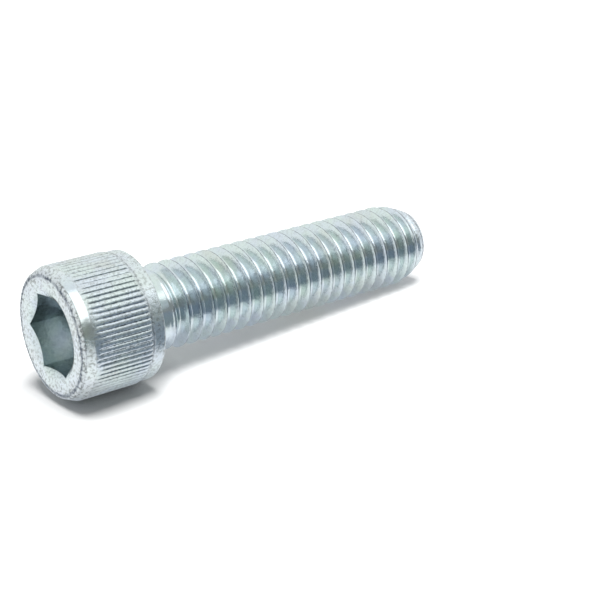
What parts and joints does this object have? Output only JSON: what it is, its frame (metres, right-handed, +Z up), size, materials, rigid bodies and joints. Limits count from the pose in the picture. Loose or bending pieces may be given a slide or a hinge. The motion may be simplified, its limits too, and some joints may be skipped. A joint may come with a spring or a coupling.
{
  "type": "hex socket cap screw",
  "caption": "Fully threaded hex socket cap screw with a knurled cylindrical head, lying on its head and point.",
  "frame": {"origin": "on the floor under the middle of the screw, which lies on the knurl of its head and the crests near its point", "axes": "+X along the screw from head to point, +Z up; the axis falls 3.87 degrees towards the point"},
  "size_m": [0.0482, 0.0142, 0.0147],
  "materials": {
    "zinc_plated_steel": "bright clear zinc plating, semi-gloss"
  },
  "bodies": {
    "root": {"cap_screw": "zinc_plated_steel"}
  },
  "joints": []
}
